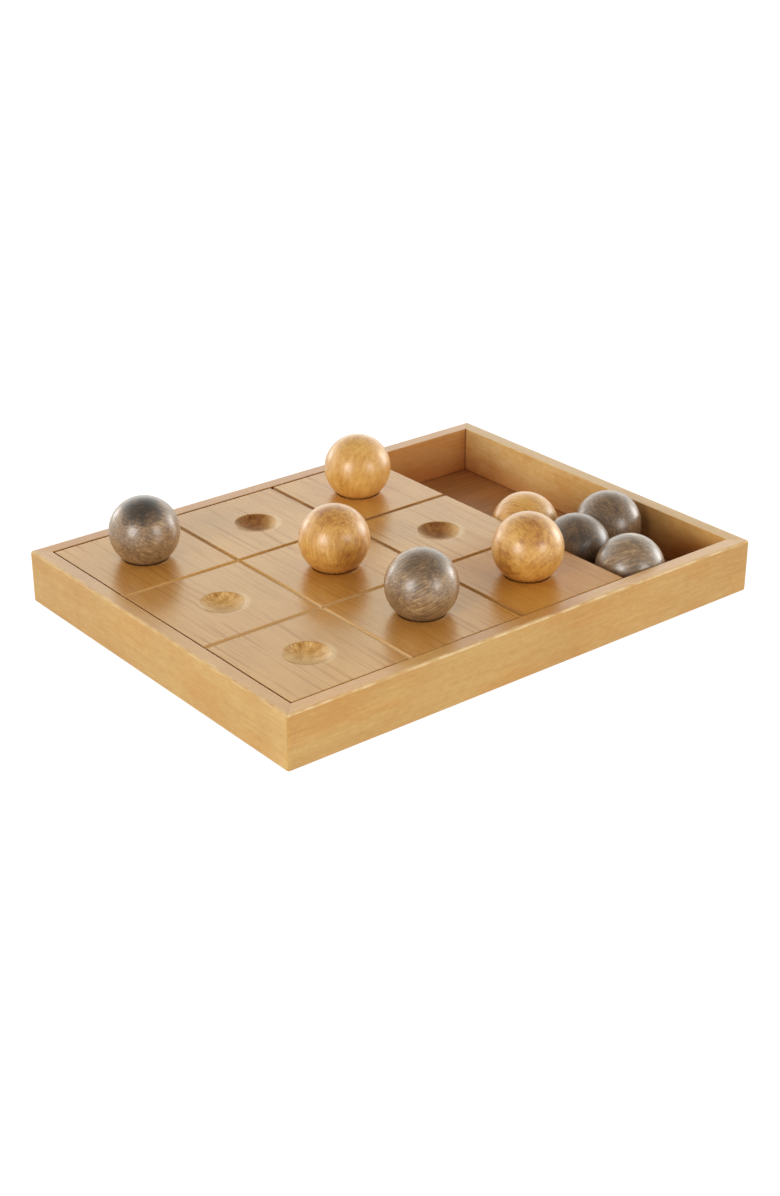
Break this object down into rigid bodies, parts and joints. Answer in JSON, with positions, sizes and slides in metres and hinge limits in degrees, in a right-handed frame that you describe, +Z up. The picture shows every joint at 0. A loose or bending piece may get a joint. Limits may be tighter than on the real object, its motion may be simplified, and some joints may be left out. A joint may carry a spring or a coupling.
{
  "type": "noughts and crosses ball game",
  "caption": "Shallow mitred wooden tray with a grooved three-by-three playing board of dished seats, an open ball trough at one end, and loose turned wooden balls in two tones.",
  "frame": {"origin": "centre of the footprint on the plane the foot pads stand on", "axes": "+Z up, +X along the long side towards the ball trough, +Y towards the rear rail"},
  "size_m": [0.406, 0.305, 0.0844],
  "materials": {
    "rail_wood": "satin lacquer",
    "board_wood": "gloss lacquer",
    "base_wood": "thin satin lacquer",
    "wall_wood": "satin lacquer",
    "bearer_wood": "bare",
    "spline_wood": "bare",
    "dark_wood": "gloss lacquer",
    "light_wood": "gloss lacquer",
    "brad_steel": "plain",
    "felt": "dense felt"
  },
  "bodies": {
    "tray": {"front_rail": "rail_wood", "rear_rail": "rail_wood", "left_rail": "rail_wood", "right_rail": "rail_wood", "spline_front_left": "spline_wood", "spline_front_right": "spline_wood", "spline_rear_left": "spline_wood", "spline_rear_right": "spline_wood", "base_panel": "base_wood", "base_brads": "brad_steel", "trough_wall": "wall_wood", "bearer_left": "bearer_wood", "bearer_front": "bearer_wood", "bearer_rear": "bearer_wood", "bearer_centre": "bearer_wood", "playing_board": "board_wood", "foot_pad_front_left": "felt", "foot_pad_front_right": "felt", "foot_pad_rear_left": "felt", "foot_pad_rear_right": "felt"},
    "ball_dark_1": {"ball_dark_1": "dark_wood"},
    "ball_dark_2": {"ball_dark_2": "dark_wood"},
    "ball_dark_3": {"ball_dark_3": "dark_wood"},
    "ball_dark_4": {"ball_dark_4": "dark_wood"},
    "ball_dark_5": {"ball_dark_5": "dark_wood"},
    "ball_light_1": {"ball_light_1": "light_wood"},
    "ball_light_2": {"ball_light_2": "light_wood"},
    "ball_light_3": {"ball_light_3": "light_wood"},
    "ball_light_4": {"ball_light_4": "light_wood"}
  },
  "joints": [
    {"name": "ball_dark_1_lift", "type": "slide", "parent": "tray", "child": "ball_dark_1", "axis": [0, 0, 1], "range_m": [0, 0.06]},
    {"name": "ball_dark_2_lift", "type": "slide", "parent": "tray", "child": "ball_dark_2", "axis": [0, 0, 1], "range_m": [0, 0.06]},
    {"name": "ball_dark_3_lift", "type": "slide", "parent": "tray", "child": "ball_dark_3", "axis": [0, 0, 1], "range_m": [0, 0.09]},
    {"name": "ball_dark_4_lift", "type": "slide", "parent": "tray", "child": "ball_dark_4", "axis": [0, 0, 1], "range_m": [0, 0.09]},
    {"name": "ball_dark_5_lift", "type": "slide", "parent": "tray", "child": "ball_dark_5", "axis": [0, 0, 1], "range_m": [0, 0.09]},
    {"name": "ball_light_1_lift", "type": "slide", "parent": "tray", "child": "ball_light_1", "axis": [0, 0, 1], "range_m": [0, 0.06]},
    {"name": "ball_light_2_lift", "type": "slide", "parent": "tray", "child": "ball_light_2", "axis": [0, 0, 1], "range_m": [0, 0.06]},
    {"name": "ball_light_3_lift", "type": "slide", "parent": "tray", "child": "ball_light_3", "axis": [0, 0, 1], "range_m": [0, 0.06]},
    {"name": "ball_light_4_lift", "type": "slide", "parent": "tray", "child": "ball_light_4", "axis": [0, 0, 1], "range_m": [0, 0.09]}
  ]
}
